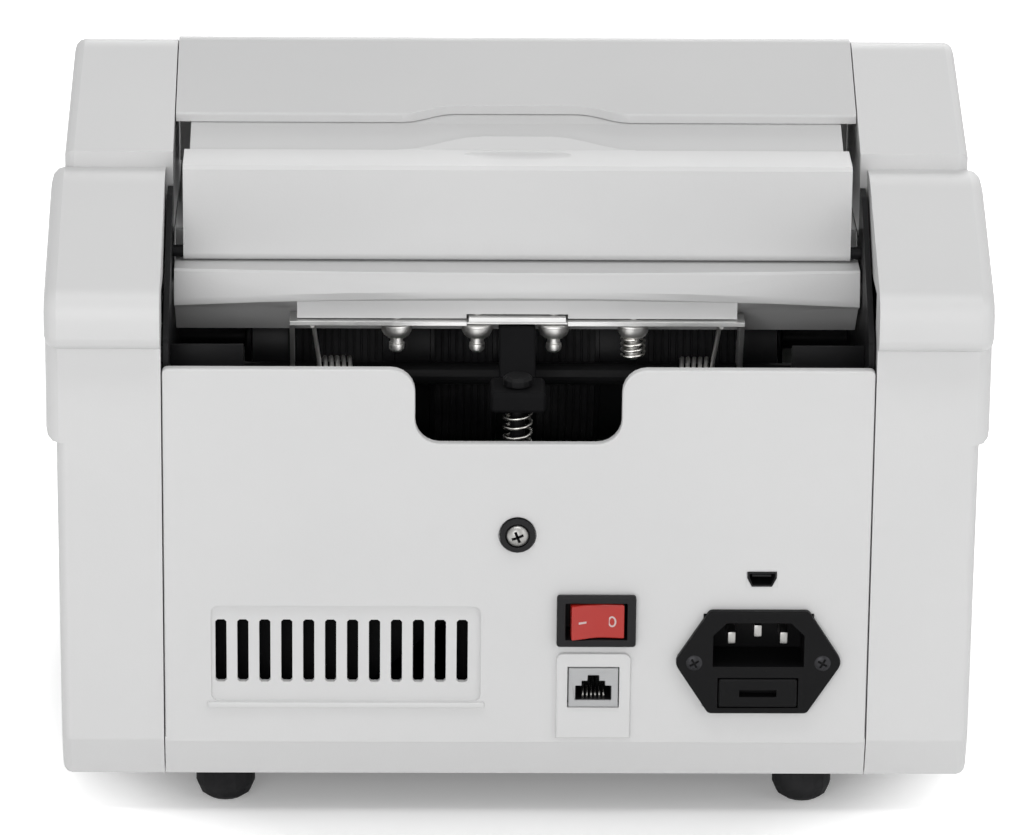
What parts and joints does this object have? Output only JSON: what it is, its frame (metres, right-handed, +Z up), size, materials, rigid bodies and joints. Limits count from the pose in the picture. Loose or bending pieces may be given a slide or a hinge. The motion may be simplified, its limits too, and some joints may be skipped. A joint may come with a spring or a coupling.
{
  "type": "banknote counter",
  "caption": "Table-top banknote counter: moulded side covers, sloped hopper, rear feed mechanism behind a jam door, mains inlet and switch on the rear panel.",
  "frame": {"origin": "on the floor under the middle of the body", "axes": "+Z up, +Y towards the rear panel, +X to the operator's right"},
  "size_m": [0.25, 0.24, 0.1906],
  "materials": {
    "body_plastic": "fine moulded texture, light grey white",
    "trim_plastic": "satin light grey",
    "black_plastic": "satin black",
    "rocker_red": "glossy red",
    "jack_grey": "satin grey",
    "nickel_steel": "bright nickel",
    "blackened_steel": "black painted sheet",
    "black_rubber": "matte",
    "smoked_window": "smoked clear",
    "key_grey": "soft-touch grey",
    "board_green": "printed board"
  },
  "bodies": {
    "body": {"base_pan": "blackened_steel", "chassis_plate_left": "blackened_steel", "chassis_plate_right": "blackened_steel", "cross_bar": "blackened_steel", "side_cover_left": "body_plastic", "side_cover_right": "body_plastic", "rear_panel": "body_plastic", "control_panel": "body_plastic", "hopper_rear_cover": "trim_plastic", "guide_strip": "trim_plastic", "stacker_tray": "trim_plastic", "hopper_floor": "trim_plastic", "guide_rail": "nickel_steel", "pivot_shaft": "blackened_steel", "torsion_spring_left": "nickel_steel", "torsion_spring_right": "nickel_steel", "adjuster_spring": "nickel_steel", "panel_screw": "nickel_steel", "screw_ring": "black_plastic", "power_switch_bezel": "black_plastic", "line_jack": "jack_grey", "usb_socket": "black_plastic", "mains_inlet": "black_plastic", "foot_1": "black_rubber", "foot_2": "black_rubber", "foot_3": "black_rubber", "foot_4": "black_rubber", "feed_motor": "nickel_steel", "feed_belt": "black_rubber", "pickup_belt": "black_rubber", "stacker_motor": "nickel_steel", "stacker_belt": "black_rubber", "display_window": "smoked_window", "main_board": "board_green"},
    "rocker": {"power_rocker": "rocker_red"},
    "fuse_carrier": {"fuse_drawer": "black_plastic"},
    "door": {"rear_door": "body_plastic"},
    "pressure_arm": {"pressure_bracket": "nickel_steel", "guide_lip": "trim_plastic", "adjuster_block": "black_plastic", "bracket_screw_1": "nickel_steel", "bracket_screw_2": "nickel_steel", "bracket_screw_3": "nickel_steel", "bracket_screw_4": "nickel_steel"},
    "gap_screw": {"adjusting_screw": "blackened_steel"},
    "drum": {"feed_drum": "black_rubber", "drum_pulley": "black_plastic"},
    "pickup": {"pickup_roller": "black_rubber"},
    "feed_drive": {"feed_motor_pulley": "black_plastic"},
    "stacker": {"stacker_shaft": "nickel_steel", "stacker_wheel_left": "black_plastic", "stacker_wheel_right": "black_plastic", "stacker_pulley": "black_plastic"},
    "stacker_drive": {"stacker_motor_pulley": "black_plastic"},
    "guide_left": {"hopper_guide_left": "trim_plastic"},
    "guide_right": {"hopper_guide_right": "trim_plastic"},
    "button_1": {"key_1": "key_grey"},
    "button_2": {"key_2": "key_grey"},
    "button_3": {"key_3": "key_grey"},
    "button_4": {"key_4": "key_grey"}
  },
  "joints": [
    {"name": "rocker_tilt", "type": "hinge", "parent": "body", "child": "rocker", "pos_m": [-0.0213, 0.1144, 0.0579], "axis": [0, 0, -1], "range_deg": [0, 14]},
    {"name": "fuse_slide", "type": "slide", "parent": "body", "child": "fuse_carrier", "axis": [0, 1, 0], "range_m": [0, 0.014]},
    {"name": "door_hinge", "type": "hinge", "parent": "body", "child": "door", "pos_m": [0, 0.0728, 0.1475], "axis": [-1, 0, 0], "range_deg": [0, 70]},
    {"name": "arm_pivot", "type": "hinge", "parent": "body", "child": "pressure_arm", "pos_m": [0, 0.07, 0.112], "axis": [-1, 0, 0], "range_deg": [0, 2.5], "stiffness_Nm_per_rad": 2, "springref_deg": -2.86, "deforming": ["adjuster_spring", "torsion_spring_left", "torsion_spring_right"]},
    {"name": "gap_screw_turn", "type": "hinge", "parent": "body", "child": "gap_screw", "pos_m": [0, 0.101, 0.103], "axis": [0, 0, 1], "range_deg": [-180, 180]},
    {"name": "drum_spin", "type": "hinge", "parent": "body", "child": "drum", "pos_m": [0, 0.03, 0.109], "axis": [1, 0, 0], "continuous": true},
    {"name": "pickup_spin", "type": "hinge", "parent": "body", "child": "pickup", "pos_m": [0, -0.018, 0.143], "axis": [1, 0, 0], "continuous": true},
    {"name": "feed_drive_spin", "type": "hinge", "parent": "body", "child": "feed_drive", "pos_m": [0, 0.063, 0.053], "axis": [1, 0, 0], "continuous": true},
    {"name": "stacker_spin", "type": "hinge", "parent": "body", "child": "stacker", "pos_m": [0, -0.045, 0.057], "axis": [1, 0, 0], "continuous": true},
    {"name": "stacker_drive_spin", "type": "hinge", "parent": "body", "child": "stacker_drive", "pos_m": [0, 0.001, 0.061], "axis": [1, 0, 0], "continuous": true},
    {"name": "guide_left_slide", "type": "slide", "parent": "body", "child": "guide_left", "axis": [1, 0, 0], "range_m": [0, 0.02]},
    {"name": "guide_right_slide", "type": "slide", "parent": "body", "child": "guide_right", "axis": [-1, 0, 0], "range_m": [0, 0.02]},
    {"name": "key_1_press", "type": "slide", "parent": "body", "child": "button_1", "axis": [0, 0.505, -0.8631], "range_m": [0, 0.0008], "stiffness_N_per_m": 300, "springref_m": -0.0003},
    {"name": "key_2_press", "type": "slide", "parent": "body", "child": "button_2", "axis": [0, 0.505, -0.8631], "range_m": [0, 0.0008], "stiffness_N_per_m": 300, "springref_m": -0.0003},
    {"name": "key_3_press", "type": "slide", "parent": "body", "child": "button_3", "axis": [0, 0.505, -0.8631], "range_m": [0, 0.0008], "stiffness_N_per_m": 300, "springref_m": -0.0003},
    {"name": "key_4_press", "type": "slide", "parent": "body", "child": "button_4", "axis": [0, 0.505, -0.8631], "range_m": [0, 0.0008], "stiffness_N_per_m": 300, "springref_m": -0.0003}
  ],
  "couplings": [
    {"joint": "pickup_spin", "follows": "drum_spin", "ratio": 1},
    {"joint": "feed_drive_spin", "follows": "drum_spin", "ratio": 2},
    {"joint": "stacker_drive_spin", "follows": "stacker_spin", "ratio": 2}
  ]
}
